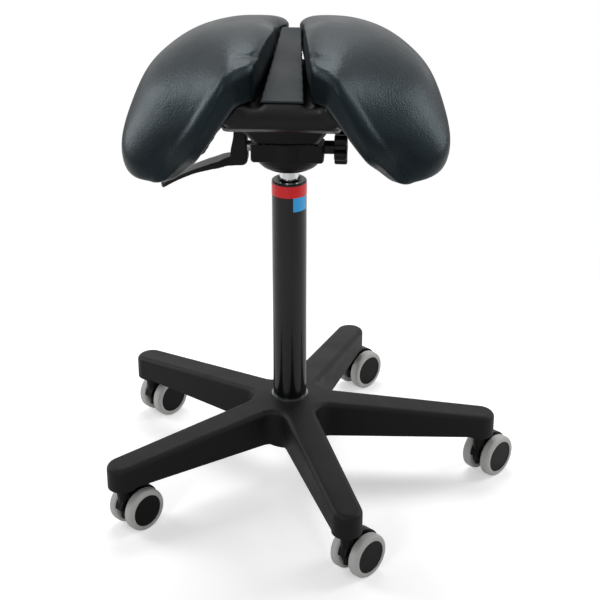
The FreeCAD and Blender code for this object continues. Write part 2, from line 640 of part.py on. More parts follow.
def housing_pieces():
    rounding = [("cup_foot_radius + (cup_radius - cup_foot_radius) * sin(%d)" % turn,
                 "cup_shoulder - bowl_depth * cos(%d)" % turn) for turn in range(0, 90, BOWL_STEP)]
    bowl = turned("bowl", [("0", "cup_foot")] + rounding + [
        ("cup_radius", "cup_shoulder"), ("cup_radius", "cup_rim"), ("0", "cup_rim")])
    block = made("Part::Box", "ear_block", Length="2 * ear_half", Width="2 * ear_radius",
                 Height="cup_rim - tilt_height + ear_drop", Placement__Base__x="-ear_half",
                 Placement__Base__y="tilt_back - ear_radius", Placement__Base__z="tilt_height - ear_drop")
    doc.recompute()
    soft_block = made("Part::Fillet", "ear_block_round")
    soft_block.Base = block
    soft_block.Edges = [(n + 1, dim.ear_round, dim.ear_round) for n, edge in enumerate(block.Shape.Edges)
                        if not all(abs(v.Z - dim.cup_rim) < 1e-6 for v in edge.Vertexes)]
    hollow = turned("bowl_hollow", [
        ("boss_radius", "cup_shoulder"), ("cup_radius - cup_wall", "cup_shoulder"),
        ("cup_radius - cup_wall", "cup_rim * 1.1"), ("0", "cup_rim * 1.1"),
        ("0", "lift_top"), ("boss_radius", "lift_top")])
    slot = made("Part::Box", "cheek_slot", Length="2 * (ear_half - ear_wall)", Width="2 * (ear_radius - cup_wall)",
                Height="4 * ear_radius", Placement__Base__x="-(ear_half - ear_wall)",
                Placement__Base__y="tilt_back - ear_radius + cup_wall", Placement__Base__z="cup_shoulder")
    keep = rod("boss_keep", "boss_radius", "lift_top - cup_shoulder", Placement__Base__z="cup_shoulder")
    seat = turned("lift_seat", [
        ("0", "cup_foot - cup_wall"), ("lift_radius", "cup_foot - cup_wall"), ("lift_radius", "cup_foot - lift_wall"),
        ("lift_radius - lift_taper", "lift_top"), ("lift_radius - lift_taper", "cup_rim"), ("0", "cup_rim")])
    bolt_hole = rod("bolt_hole", "bolt_radius + running_gap", "4 * ear_half", turn=ALONG_X,
                    Placement__Base__x="-2 * ear_half", Placement__Base__y="tilt_back",
                    Placement__Base__z="tilt_height")
    shell = cut("housing_shell", fused("housing_outside", bowl, soft_block), fused("housing_inside", hollow, slot))
    part(cut("housing", fused("housing_boss", shell, keep), fused("housing_holes", seat, bolt_hole)), "tilt_housing")


def bolt_and_knob():
    """The tilt bolt through both ears, its friction washers and the star knob."""
    start = "(-ear_half - bolt_head - running_gap)"
    bolt = fused("bolt_solid",
                 rod("bolt_bar", "bolt_radius", "bolt_reach + ear_half", turn=ALONG_X,
                     Placement__Base__x="-ear_half - running_gap", Placement__Base__y="tilt_back",
                     Placement__Base__z="tilt_height"),
                 rod("bolt_cap", "bolt_head_radius", "bolt_head", turn=ALONG_X, Placement__Base__x=start,
                     Placement__Base__y="tilt_back", Placement__Base__z="tilt_height"))
    part(bolt, "tilt_bolt")
    inner = dim.ear_half - dim.ear_wall
    washers = []
    for side in (inner - dim.washer_wall, -inner):
        ring = Part.makeCylinder(dim.washer_radius, dim.washer_wall, V(side, dim.tilt_back, dim.tilt_height), ACROSS)
        hole = Part.makeCylinder(dim.bolt_radius + dim.running_gap, dim.washer_wall,
                                 V(side, dim.tilt_back, dim.tilt_height), ACROSS)
        washers.append(ring.cut(hole))
    fixed("washer_set", Part.makeCompound(washers), "friction_washers")
    hub_start = dim.ear_half + dim.face_gap
    grip_start = hub_start + dim.knob_hub
    knob = Part.makeCylinder(dim.knob_hub_radius, dim.knob_hub, V(hub_start, 0, 0), ACROSS)
    knob = knob.fuse(Part.makeCylinder(dim.knob_core_radius, dim.knob_grip, V(grip_start, 0, 0), ACROSS))
    for number in range(int(dim.knob_lobes)):
        turn = 2 * math.pi * number / int(dim.knob_lobes) - math.pi / 2
        reach = dim.knob_reach - dim.knob_lobe_radius
        knob = knob.fuse(Part.makeCylinder(dim.knob_lobe_radius, dim.knob_grip,
                                           V(grip_start, reach * math.cos(turn), reach * math.sin(turn)), ACROSS))
    knob = knob.removeSplitter()
    rims = [edge for edge in knob.Edges
            if all(abs(v.X - grip_start) < 1e-4 for v in edge.Vertexes) and not radius_is(edge, dim.knob_hub_radius)
            or all(abs(v.X - grip_start - dim.knob_grip) < 1e-4 for v in edge.Vertexes)]
    knob = knob.makeFillet(dim.knob_grip / 7, rims)
    thread = Part.makeCylinder(dim.bolt_radius + dim.running_gap, dim.bolt_reach - dim.ear_half + 2 * dim.face_gap,
                               V(dim.ear_half - dim.face_gap, 0, 0), ACROSS)
    knob = knob.cut(thread)
    knob.translate(V(0, dim.tilt_back, dim.tilt_height))
    fixed("knob_solid", knob, "star_knob")


def seat_pan():
    """A dished pan, open downwards, with two cheek plates that hang on the tilt bolt."""
    outer = frustum(0)
    inner = frustum(dim.pan_wall)
    pan = outer.cut(inner)
    cheek_out = dim.ear_half - dim.ear_wall - dim.washer_wall - dim.running_gap
    for side in (cheek_out - dim.cheek_wall, -cheek_out):
        round_end = Part.makeCylinder(dim.cheek_radius, dim.cheek_wall, V(side, dim.tilt_back, dim.tilt_height), ACROSS)
        plate = Part.makeBox(dim.cheek_wall, 2 * dim.cheek_radius, dim.pan_top - dim.pan_wall - dim.tilt_height,
                             V(side, dim.tilt_back - dim.cheek_radius, dim.tilt_height))
        hole = Part.makeCylinder(dim.bolt_radius + dim.running_gap, 3 * dim.cheek_wall,
                                 V(side - dim.cheek_wall, dim.tilt_back, dim.tilt_height), ACROSS)
        pan = pan.fuse(round_end.fuse(plate).cut(hole))
    for across, along in screw_places():
        pan = pan.cut(Part.makeCylinder(dim.screw_radius, 2 * dim.pan_wall, V(across, along, dim.pan_top - 2 * dim.pan_wall)))
    fixed("pan_solid", pan.removeSplitter(), "seat_pan")


def frustum(inset):
    """The pan's outside, or its hollow when inset by a wall."""
    low = dim.pan_top - dim.pan_height - inset
    high = dim.pan_top - inset
    rings = []
    for height, half, front, back in (
            (low, dim.pan_half_foot, dim.pan_front_foot, dim.pan_back_foot),
            (high, dim.pan_half_top, dim.pan_front_top, dim.pan_back_top)):
        half, front, back = half - inset, front + inset, back - inset
        rings.append(rounded_ring(half, front, back, height, dim.pan_round))
    return Part.makeLoft(rings, True, True)


def rounded_ring(half, front, back, height, radius):
    """A level rectangle with round corners."""
    corners = [V(-half, front, height), V(half, front, height), V(half, back, height), V(-half, back, height)]
    middle = V(0, (front + back) / 2, height)
    edges = []
    starts, ends = [], []
    for corner in corners:
        inward = V(math.copysign(radius, -corner.x), math.copysign(radius, middle.y - corner.y), 0)
        along_x = corner + V(inward.x, 0, 0)
        along_y = corner + V(0, inward.y, 0)
        bend = corner + inward * (1 - math.sqrt(0.5))
        first, last = (along_y, along_x) if corner in (corners[0], corners[2]) else (along_x, along_y)
        starts.append(first)
        ends.append(last)
        edges.append(Part.Arc(first, bend, last).toShape())
    for index in range(4):
        edges.append(Part.LineSegment(ends[index], starts[(index + 1) % 4]).toShape())
    return Part.Wire(Part.__sortEdges__(edges))


def lever_pieces():
    out = dim.lever_pivot_out
    finger = Part.makeBox(out + dim.finger_past, 2 * dim.finger_half, dim.finger_wall,
                          V(-out, -dim.finger_half, dim.finger_low))
    knuckle = Part.makeCylinder(dim.knuckle_half, 2 * dim.knuckle_half,
                                V(-out, -dim.knuckle_half, dim.lever_pivot_height), BACK)
    handle = lever_handle()
    pin = Part.makeCylinder(dim.lever_pin_radius + dim.running_gap, 4 * dim.knuckle_half,
                            V(-out, -2 * dim.knuckle_half, dim.lever_pivot_height), BACK)
    fixed("lever_solid", knuckle.fuse(handle).cut([pin, finger]).removeSplitter(), "height_lever")
    fixed("finger_solid", finger.cut(pin), "lever_finger")
    fork = []
    inner = dim.knuckle_half + dim.face_gap
    top = dim.pan_top
    for side in (inner, -inner - dim.fork_wall):
        ear = Part.makeBox(2 * dim.finger_half, dim.fork_wall, top - dim.lever_pivot_height,
                           V(-out - dim.finger_half, side, dim.lever_pivot_height))
        ear = ear.fuse(Part.makeCylinder(dim.finger_half, dim.fork_wall, V(-out, side, dim.lever_pivot_height), BACK))
        fork.append(ear)
    bridge = Part.makeBox(2 * dim.finger_half, 2 * inner, dim.fork_wall, V(-out - dim.finger_half, -inner, top - dim.fork_wall))
    hinge = Part.makeCylinder(dim.lever_pin_radius, 2 * inner, V(-out, -inner, dim.lever_pivot_height), BACK)
    fixed("fork_solid", bridge.fuse(fork + [hinge]).removeSplitter(), "lever_bracket")


def lever_handle():
    """The drop from the pin to the knuckle's foot, and the paddle that sweeps out and down."""
    out = dim.lever_pivot_out
    foot = dim.knuckle_foot
    tip = dim.paddle_tip_out
    low = dim.paddle_tip_height
    wall = dim.paddle_wall
    bend_out = out + (tip - out) * 0.42
    bend_low = low + (foot - low) * 0.8
    outline = [
        Part.LineSegment(V(-out + dim.knuckle_half, 0, dim.lever_pivot_height), V(-out + wall, 0, foot + wall)),
        Part.Arc(V(-out + wall, 0, foot + wall), V(-out + wall * 0.7, 0, foot + wall * 0.3), V(-out, 0, foot)),
        Part.Arc(V(-out, 0, foot), V(-bend_out, 0, bend_low), V(-tip + wall / 2, 0, low)),
        Part.Arc(V(-tip + wall / 2, 0, low), V(-tip, 0, low + wall * 0.6), V(-tip + wall / 2, 0, low + wall)),
        Part.Arc(V(-tip + wall / 2, 0, low + wall), V(-bend_out, 0, bend_low + wall), V(-out - wall * 1.5, 0, foot + wall * 1.6)),
        Part.LineSegment(V(-out - wall * 1.5, 0, foot + wall * 1.6), V(-out - dim.knuckle_half, 0, dim.lever_pivot_height)),
        Part.LineSegment(V(-out - dim.knuckle_half, 0, dim.lever_pivot_height), V(-out + dim.knuckle_half, 0, dim.lever_pivot_height)),
    ]
    face = Part.Face(Part.Wire([item.toShape() for item in outline]))
    solid = face.extrude(V(0, 2 * dim.paddle_half, 0))
    solid.translate(V(0, -dim.paddle_half, 0))
    return solid.common(lever_plan())


def lever_plan():
    """Trims the lever seen from above: a narrow knuckle that widens to the paddle."""
    out = dim.lever_pivot_out
    tip = dim.paddle_tip_out
    narrow = dim.knuckle_half
    wide = dim.paddle_half
    start = out - narrow
    corners = [V(-start, -narrow, 0), V(-start, narrow, 0), V(-out - narrow * 1.4, narrow, 0), V(-tip + wide * 1.6, wide, 0)]
    mirror = [V(point.x, -point.y, 0) for point in corners]
    edges = [Part.LineSegment(corners[0], corners[1]), Part.LineSegment(corners[1], corners[2]),
             Part.LineSegment(corners[2], corners[3]),
             Part.Arc(corners[3], V(-tip, 0, 0), mirror[3]),
             Part.LineSegment(mirror[3], mirror[2]), Part.LineSegment(mirror[2], mirror[1])]
    face = Part.Face(Part.Wire([item.toShape() for item in edges]))
    return face.extrude(V(0, 0, dim.pan_top))


# Seat: each pad is a ribbon of sections from its inner edge out and down to its lobe.
# A section gives its front edge, crown and back edge on the top face, and its thickness.
# The heights are over the seat pan's top.
PAD_SECTIONS = [
    ((36, -112, 100.5), (25.5, 22, 113.5), (16, 128, 90.5), 52),
    ((52, -128, 101.5), (48, 25, 117.5), (40, 132, 92.5), 54),
    ((74, -147, 94.5), (85, 30, 114.5), (80, 130, 92.5), 50),
    ((96, -152, 64.5), (130, 40, 101.5), (124, 118, 82.5), 44),
    ((116, -152, 30.5), (172, 24, 76.5), (164, 90, 60.5), 40),
    ((134, -146, 2.5), (198, -10, 48.5), (192, 50, 32.5), 40),
    ((151, -136, -20.5), (213, -48, 11.5), (208, 2, 8.5), 42),
    ((165, -128, -37.5), (217, -84, -19.5), (217, -32, -17.5), 44),
]

# The rounded ends of a pad: sections that shrink, as a share of the pad's thickness
INNER_END = [((33, -106, 96.5), (18.5, 22, 110.5), (9.5, 122, 87.5), 52, 0.93)]
LOBE_END = [
    ((176, -126, -50.5), (219, -90, -41.5), (219, -46, -41.5), 44, 0.88),
    ((188, -120, -60.5), (215, -96, -57.5), (215, -68, -56.5), 44, 0.5),
]


def vector(place, side):
    return V(side * place[0], place[1], dim.pan_top + place[2])


def section_axes(section, side):
    """A section's three points, the way from front to back, and the way into the pad."""
    front, crown, back = [vector(place, side) for place in section[:3]]
    along = (back - front).normalize()
    rise = crown - front
    inward = (rise - along * rise.dot(along)).normalize() * -1
    return front, crown, back, along, inward


def ribbon_section(section, side, top, foot, corner, hem, draw_in):
    """A closed outline across the ribbon between two depths under the pad's top face."""
    front, crown, back, along, inward = section_axes(section, side)
    front, crown, back = front + inward * top, crown + inward * top, back + inward * top
    deep = foot - top
    slant = math.sqrt(0.5)
    points = [
        front,
        front - along * corner * slant + inward * corner * (1 - slant),
        front - along * corner + inward * corner,
        front - along * (corner - draw_in) + inward * (deep - hem),
        front - along * (corner - draw_in - hem * (1 - slant)) + inward * (deep - hem * (1 - slant)),
        front - along * (corner - draw_in - hem) + inward * deep,
        back + along * (corner - draw_in - hem) + inward * deep,
        back + along * (corner - draw_in - hem * (1 - slant)) + inward * (deep - hem * (1 - slant)),
        back + along * (corner - draw_in) + inward * (deep - hem),
        back + along * corner + inward * corner,
        back + along * corner * slant + inward * corner * (1 - slant),
        back,
    ]
    edges = [
        Part.Arc(points[0], points[1], points[2]), Part.LineSegment(points[2], points[3]),
        Part.Arc(points[3], points[4], points[5]), Part.LineSegment(points[5], points[6]),
        Part.Arc(points[6], points[7], points[8]), Part.LineSegment(points[8], points[9]),
        Part.Arc(points[9], points[10], points[11]), Part.Arc(back, crown, front),
    ]
    return Part.Wire([edge.toShape() for edge in edges])


def pad(side):
    wires = []
    for section in INNER_END + [middle + (1,) for middle in PAD_SECTIONS] + LOBE_END:
        thick, share = section[3:]
        spare = thick * (1 - share) / 2
        wires.append(ribbon_section(section, side, spare, thick - spare,
                                    dim.pad_corner * share, dim.pad_hem * share, dim.pad_draw_in * share))
    return Part.makeLoft(wires, True, False)


def wing(side):
    """The shell's wing under one pad, which follows the pad's flat underside."""
    wires = []
    for section in PAD_SECTIONS[1:-1]:
        front, _, back, along, inward = section_axes(section, side)
        high = section[3] + dim.soft_gap
        low = high + dim.shell_wall
        front, back = front + along * dim.shell_inset, back - along * dim.shell_inset
        corners = [front + inward * high, front + inward * low, back + inward * low, back + inward * high]
        wires.append(Part.makePolygon(corners + corners[:1]))
    return Part.makeLoft(wires, True, True)


def strip_half(place):
    """Half width of the centre strip at a place along Y."""
    if place < dim.strip_crest:
        share = (dim.strip_crest - place) / (dim.strip_crest - dim.strip_front)
        return dim.strip_crest_half + (dim.strip_front_half - dim.strip_crest_half) * share
    share = (place - dim.strip_crest) / (dim.strip_back - dim.strip_crest)
    return dim.strip_crest_half + (dim.strip_back_half - dim.strip_crest_half) * share


def strip_plan(inset, foot, height):
    """The strip's outline seen from above, as an upright block."""
    front, crest, back = dim.strip_front + inset, dim.strip_crest, dim.strip_back - inset
    ends = [(strip_half(front) - inset, front), (strip_half(crest) - inset, crest), (strip_half(back) - inset, back)]
    corners = [V(x, y, foot) for x, y in ends] + [V(-x, y, foot) for x, y in reversed(ends)]
    return Part.Face(Part.makePolygon(corners + corners[:1])).extrude(V(0, 0, height))


def strip_side(drop, depth):
    """The strip's side view, below its top by drop and as thick as depth, as a wide block."""
    crest = V(0, dim.strip_crest, dim.strip_crest_height)
    top = [V(0, dim.strip_front, dim.strip_front_height), crest,
           crest + V(0, dim.crest_bend / 2, dim.crest_bulge), crest + V(0, dim.crest_bend, -dim.crest_sag),
           V(0, dim.strip_back, dim.strip_back_height)]
    top = [point - UP * drop for point in top]
    foot = [point - UP * depth for point in top]
    edges = [Part.LineSegment(top[0], top[1]), Part.Arc(top[1], top[2], top[3]), Part.LineSegment(top[3], top[4]),
             Part.LineSegment(top[4], foot[4]), Part.LineSegment(foot[4], foot[3]),
             Part.Arc(foot[3], foot[2], foot[1]), Part.LineSegment(foot[1], foot[0]),
             Part.LineSegment(foot[0], top[0])]
    wide = 2 * dim.strip_front_half
    side = Part.Face(Part.Wire([edge.toShape() for edge in edges])).extrude(V(2 * wide, 0, 0))
    side.translate(V(-wide, 0, 0))
    return side


def centre_strip():
    plan = strip_plan(0, dim.pan_top, dim.strip_crest_height)
    fixed("strip_solid", plan.common(strip_side(0, dim.strip_wall)), "centre_strip")


def shell_block():
    """The shell's middle, from its nose to its back, over a flat underside."""
    low = dim.pan_top
    high = dim.block_top
    nose = dim.nose_front
    side_view = [(nose + dim.nose_tuck, low), (nose + dim.nose_bevel, low + dim.nose_bevel_rise),
                 (nose, low + dim.nose_lip), (nose + dim.nose_lean, high), (dim.nose_back, high),
                 (dim.nose_back, low + dim.back_bevel), (dim.nose_back - dim.back_bevel, low)]
    half = dim.nose_half
    right = [(half - dim.foot_bevel, low), (half, low + dim.foot_rise),
             (half - dim.side_lean, high - dim.shoulder_drop), (half - dim.shoulder_in, high)]
    front_view = right + [(-x, z) for x, z in reversed(right)]
    side = [V(-half, y, z) for y, z in side_view]
    front = [V(x, dim.nose_front, z) for x, z in front_view]
    block = Part.Face(Part.makePolygon(side + side[:1])).extrude(V(2 * half, 0, 0))
    room = Part.Face(Part.makePolygon(front + front[:1])).extrude(V(0, dim.nose_back - dim.nose_front, 0))
    return block.common(room)


def seat_shell():
    """Two wings under the pads, joined by a block with a nose, and a ridge for the strip."""
    ridge_foot = dim.block_top - dim.ridge_inset
    ridge = strip_plan(dim.ridge_inset, ridge_foot, dim.strip_crest_height)
    ridge = ridge.common(strip_side(dim.strip_wall, dim.strip_crest_height - dim.pan_top))
    shell = shell_block().fuse(ridge).fuse(wing(1)).fuse(wing(-1))
    for across, along in screw_places():
        shell = shell.cut(Part.makeCylinder(dim.screw_radius, dim.screw_length - dim.pan_wall,
                                            V(across, along, dim.pan_top)))
    fixed("shell_solid", shell.removeSplitter(), "seat_shell")


def screw_places():
    for across in (-dim.screw_across, dim.screw_across):
        for along in (dim.screw_front, dim.screw_back):
            yield across, along


def pan_screws():
    screws = []
    ceiling = dim.pan_top - dim.pan_wall
    for across, along in screw_places():
        shank = Part.makeCylinder(dim.screw_radius, dim.screw_length, V(across, along, ceiling))
        head = Part.makeCylinder(dim.screw_head_radius, dim.screw_head, V(across, along, ceiling - dim.screw_head))
        screws.append(shank.fuse(head).removeSplitter())
    fixed("screw_set", Part.makeCompound(screws), "pan_screws")


def seat_pieces():
    fixed("pad_right_solid", pad(1), "pad_right")
    fixed("pad_left_solid", pad(-1), "pad_left")
    centre_strip()
    seat_shell()
    pan_screws()


def finish():
    """Checks every object and writes one file for each sub-part."""
    doc.recompute()
    for item in doc.Objects:
        if "Invalid" in item.State or "Error" in item.State:
            raise RuntimeError("%s did not build: %s" % (item.Name, item.State))
    os.makedirs("parts", exist_ok=True)
    for item in PARTS:
        if item.Shape.isNull() or not item.Shape.isValid() or not item.Shape.Solids:
            raise RuntimeError("%s has no valid solid" % item.Label)
    for item in PARTS:
        item.Shape.exportStep("parts/%s.step" % item.Label)
        print("%-22s %2d solids %10.0f mm3" % (item.Label, len(item.Shape.Solids), item.Shape.Volume))
    print(len(PARTS), "sub-parts")


castors()
stems_and_sockets()
base_pieces()
column_pieces()
housing_pieces()
bolt_and_knob()
seat_pan()
lever_pieces()
seat_pieces()
finish()
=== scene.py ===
"""Saddle stool: the finished look of its pieces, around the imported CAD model.

Everything is in metres. The sitter faces -Y, the floor is at Z 0 and the column stands on the origin.
"""

import json
import math

import bpy
from bpy.props import FloatProperty, FloatVectorProperty, IntProperty, PointerProperty
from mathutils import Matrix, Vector


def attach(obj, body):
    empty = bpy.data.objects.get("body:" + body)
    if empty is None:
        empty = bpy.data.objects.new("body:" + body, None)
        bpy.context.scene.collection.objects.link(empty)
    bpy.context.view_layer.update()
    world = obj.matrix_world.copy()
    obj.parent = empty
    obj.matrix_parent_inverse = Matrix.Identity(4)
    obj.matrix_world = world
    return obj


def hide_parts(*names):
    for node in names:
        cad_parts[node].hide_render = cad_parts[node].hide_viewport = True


bl_info = {
    "name": "Saddle stool",
    "version": (1, 0, 0),
    "blender": (4, 5, 0),
    "location": "View3D > Sidebar > Saddle stool",
    "description": "Dresses the saddle stool's packed model and sets up its studio",
    "category": "Object",
}

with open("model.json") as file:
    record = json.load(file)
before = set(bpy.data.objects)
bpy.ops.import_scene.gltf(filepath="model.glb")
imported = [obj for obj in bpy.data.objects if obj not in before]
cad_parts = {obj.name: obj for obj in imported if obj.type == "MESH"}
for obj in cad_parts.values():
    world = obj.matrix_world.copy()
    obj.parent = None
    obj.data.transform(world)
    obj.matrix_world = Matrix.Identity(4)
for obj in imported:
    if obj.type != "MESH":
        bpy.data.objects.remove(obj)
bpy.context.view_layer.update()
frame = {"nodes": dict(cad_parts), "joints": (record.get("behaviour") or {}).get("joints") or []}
NODES = frame["nodes"]
MM = 0.001
CASTORS = range(1, 6)

# Half widths that the lever is widened from, close to the CAD's 9.5 mm at the knuckle and 13 mm at the paddle
KNUCKLE_HALF = 9 * MM
PADDLE_HALF = 13 * MM

# How much wider the lever's knuckle bulges at its foot, and how much narrower its paddle ends
KNUCKLE_BULGE = 0.25
PADDLE_TAPER = 2 * MM

# Filling of a pad's cover: the pressure and how stiff the coated cloth is against stretch
FILL_PRESSURE = 4
COVER_STIFFNESS = 40

# Times that the filled cover's rise is averaged with its neighbours
EVENING = 12

# Folds of the right pad's cover in mm: the points of a line, its half width and its depth
PAD_FOLDS = [(((31, -94, 694), (44, -106, 694), (60, -113, 693)), 4, 2.8)]

# Soft patches moved to the photograph's outline, in mm: place, reach and move
LEFT_PAD_PULLS = [((-195, -100, 540), 110, (-3, 0, -11)), ((-16, 60, 700), 60, (-6, 0, -3)),
                  ((-60, 40, 705), 110, (0, 0, -3)), ((-10, 100, 690), 55, (4, 0, 0))]
RIGHT_PAD_PULLS = [((175, -130, 540), 70, (-3, 0, -3)), ((10, 100, 690), 55, (-4, 0, 0))]
SHELL_PULLS = [((-72, -100, 598), 50, (-13, 0, -1)), ((72, -100, 598), 50, (6, 0, -1))]

# Tall softboxes at both sides, one overhead and a slim one in front: place, width and height, watts
LAMPS = {
    "Softbox_right": ((1.8, 0.45, 1.2), (0.8, 1.4), 15),
    "Softbox_left": ((-1.8, 0.45, 1.2), (0.8, 1.4), 15),
    "Softbox_top": ((0, 0.95, 2.3), (1.5, 1.0), 24),
    "Softbox_front": ((-0.8, -2.1, 1.2), (0.16, 1.5), 10),
}
LAMP_TARGET = Vector((0, 0, 0.45))

# The studio's levels: grey for diffuse light, and the paper's lift to white near the stool
SKY_LEVEL = 0.26
PAPER_LIFT = 0.4
SHADOW_REACH = (0.45, 1.0)

CAMERA_TURN = math.radians(4)
CAMERA_YAW = math.radians(0.43)
CAMERA_DROP = math.radians(25.3)
CAMERA_PLACE = Vector((2.044 * math.sin(CAMERA_TURN), -2.044 * math.cos(CAMERA_TURN), 1.261))


def turned(x, y, z):
    """A direction in the camera's own heading, in the row frame."""
    return Vector((x * math.cos(CAMERA_TURN) - y * math.sin(CAMERA_TURN),
                   x * math.sin(CAMERA_TURN) + y * math.cos(CAMERA_TURN), z))


CAMERA_AIM = turned(math.sin(CAMERA_YAW) * math.cos(CAMERA_DROP),
                    math.cos(CAMERA_YAW) * math.cos(CAMERA_DROP), -math.sin(CAMERA_DROP))


def linear(code):
    """A colour written as sRGB hex, as the linear values that a shader takes."""
    parts = [int(code[i:i + 2], 16) / 255 for i in (1, 3, 5)]
    return [p / 12.92 if p <= 0.04045 else ((p + 0.055) / 1.055) ** 2.4 for p in parts]


def colour(name, code, description):
    return FloatVectorProperty(name=name, description=description, subtype="COLOR", size=3,
                               min=0, max=1, default=linear(code))


def length(name, value, description):
    return FloatProperty(name=name, description=description, default=value, min=0,
                         subtype="DISTANCE", unit="LENGTH")


class StoolColours(bpy.types.PropertyGroup):
    """The colours of the stool's finishes."""

    leather: colour("Leather", "#0d1316", "Synthetic leather of the two pads")
    strip: colour("Strip", "#1b2327", "Textured cover between the pads")
    shell: colour("Shell", "#050506", "Moulded shell under the pads")
    mechanism: colour("Mechanism", "#080808", "Powder coat of the tilt housing and the pan")
    lever: colour("Lever", "#0b0c0d", "Moulded height lever and star knob")
    column: colour("Column", "#050505", "Enamel of the steel column")
    band: colour("Band", "#e6141c", "Bare film at the column's top")
    label: colour("Label", "#38aef4", "Bare label under the band")
    base: colour("Base", "#111112", "Moulded five-arm base")
    castor: colour("Castor", "#080809", "Castor bodies and wheel centres")
    tread: colour("Tread", "#b6b6b4", "Soft treads of the castor wheels")
    floor: colour("Floor", "#f4f4f4", "Studio floor")


class StoolSizes(bpy.types.PropertyGroup):
    """The sizes that the finished pieces are made to."""

    pad_voxel: length("Pad mesh", 3.4 * MM, "Mesh size of the pads before they are filled")
    pad_room: length("Pad room", 1.5 * MM, "How much smaller a pad's cover starts")
    pad_crown: length("Pad crown", 4.0 * MM, "How far the filling may lift the cover")
    shell_voxel: length("Shell mesh", 2.8 * MM, "Mesh size of the moulded shell")
    strip_voxel: length("Strip mesh", 1.5 * MM, "Mesh size of the centre strip")
    lever_voxel: length("Lever mesh", 1.2 * MM, "Mesh size of the height lever")
    paddle_half: length("Paddle half width", 17.0 * MM, "Half width of the lever's paddle at its root")
    shell_rounds: IntProperty(name="Shell rounding", description="Smoothing passes over the shell's edges",
                              default=18, min=0)
    strip_rounds: IntProperty(name="Strip rounding", description="Smoothing passes over the strip's edges",
                              default=5, min=0)
    lever_rounds: IntProperty(name="Lever rounding", description="Smoothing passes over the lever's edges",
                              default=5, min=0)
    fill_frames: IntProperty(name="Filling time", description="Frames that the pads' filling is simulated for",
                             default=20, min=1)
    camera_lens: FloatProperty(name="Lens", description="Focal length of the camera, in millimetres",
                               default=91.8, min=1, subtype="DISTANCE_CAMERA")


# --- Shaping tools ---

def only(piece):
    """Selects one piece and makes it the active one."""
    bpy.ops.object.select_all(action="DESELECT")
    piece.select_set(True)
    bpy.context.view_layer.objects.active = piece


def copy_of(node, name):
    """A new piece with the shape of a CAD node, its loose triangles merged."""
    piece = bpy.data.objects.new(name, NODES[node].data.copy())
    piece.data.name = name
    bpy.context.scene.collection.objects.link(piece)
    piece.data.materials.clear()
    only(piece)
    bpy.ops.object.mode_set(mode="EDIT")
    bpy.ops.mesh.select_all(action="SELECT")
    bpy.ops.mesh.remove_doubles(threshold=0.01 * MM)
    bpy.ops.object.mode_set(mode="OBJECT")
    return piece


def shaped(piece, kind, **settings):
    """Adds one modifier to a piece and applies it."""
    only(piece)
    modifier = piece.modifiers.new(kind.title(), kind)
    for name, value in settings.items():
        setattr(modifier, name, value)
    bpy.ops.object.modifier_apply(modifier=modifier.name)


def share_of(value, low, high):
    """0 at low, 1 at high, and soft between them."""
    share = max(0, min(1, (value - low) / (high - low)))
    return share * share * (3 - 2 * share)


def pull(piece, patches):
    """Moves soft patches of a piece one after the other, as by hand with a grab brush."""
    for place, reach, move in patches:
        place, move = Vector(place) * MM, Vector(move) * MM
        for vertex in piece.data.vertices:
            share = 1 - (vertex.co - place).length / (reach * MM)
            if share > 0:
                vertex.co += move * share * share * (3 - 2 * share)


def distance_to(place, start, end):
    """Distance of a place from the line between two points."""
    run = end - start
    share = max(0, min(1, (place - start).dot(run) / run.length_squared))
    return (place - start - run * share).length


def joint_place(joint):
    """The place of a joint of the frame."""
    found = next(j for j in frame["joints"] if j["name"] == joint)
    return Vector(found["pos_m"])


def even_mesh(piece, voxel):
    """Gives a piece an even mesh of small squares."""
    shaped(piece, "REMESH", mode="VOXEL", voxel_size=voxel, use_smooth_shade=True)


def dressed(piece, body, node, finish):
    """Puts a finished piece in a CAD node's place."""
    piece.data.materials.append(finish)
    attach(piece, body)
    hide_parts(node)


def finish_nodes(names, finish):
    """Gives CAD nodes their finish."""
    for name in names:
        mesh = NODES[name].data
        mesh.materials.clear()
        mesh.materials.append(finish)


# --- Finishes ---

def add(tree, kind, inputs=None, **settings):
    """Adds one node. Its inputs are values, or sockets to link from."""
    node = tree.nodes.new(kind)
    for name, value in settings.items():
        setattr(node, name, value)
    for name, value in (inputs or {}).items():
        if isinstance(value, bpy.types.NodeSocket):
            tree.links.new(value, node.inputs[name])
        else:
            node.inputs[name].default_value = value
    return node


def rgba(tint, factor=1.0):
    return [min(1, c * factor) for c in tint] + [1]


def new_finish(name, tint, spread, patch_mm, **shader):
    """A material whose colour drifts a little over patches of a real size."""
    finish = bpy.data.materials.new(name)
    finish.use_nodes = True
    tree = finish.node_tree
    tree.nodes.clear()
    place = add(tree, "ShaderNodeTexCoord").outputs["Object"]
    patch = add(tree, "ShaderNodeTexNoise", {"Vector": place, "Scale": 1 / (patch_mm * MM), "Detail": 3.0})
    # The mixed colours' sockets share their names with the plain numbers', so they go by place.
    drift = add(tree, "ShaderNodeMix", {"Factor": patch.outputs["Fac"], 6: rgba(tint, 1 - spread),
                                        7: rgba(tint, 1 + spread)}, data_type="RGBA")
    skin = add(tree, "ShaderNodeBsdfPrincipled", {"Base Color": drift.outputs[2]} | shader)
    out = add(tree, "ShaderNodeOutputMaterial")
    tree.links.new(skin.outputs[0], out.inputs["Surface"])
    return finish, tree, place, patch.outputs["Fac"], skin


def rough_range(tree, skin, factor, low, high):
    """Roughness between two values, by a noise pattern, most of which lies between 0.3 and 0.7."""
    band = add(tree, "ShaderNodeMapRange", {"Value": factor, "From Min": 0.3, "From Max": 0.7,
                                            "To Min": low, "To Max": high})
    tree.links.new(band.outputs["Result"], skin.inputs["Roughness"])


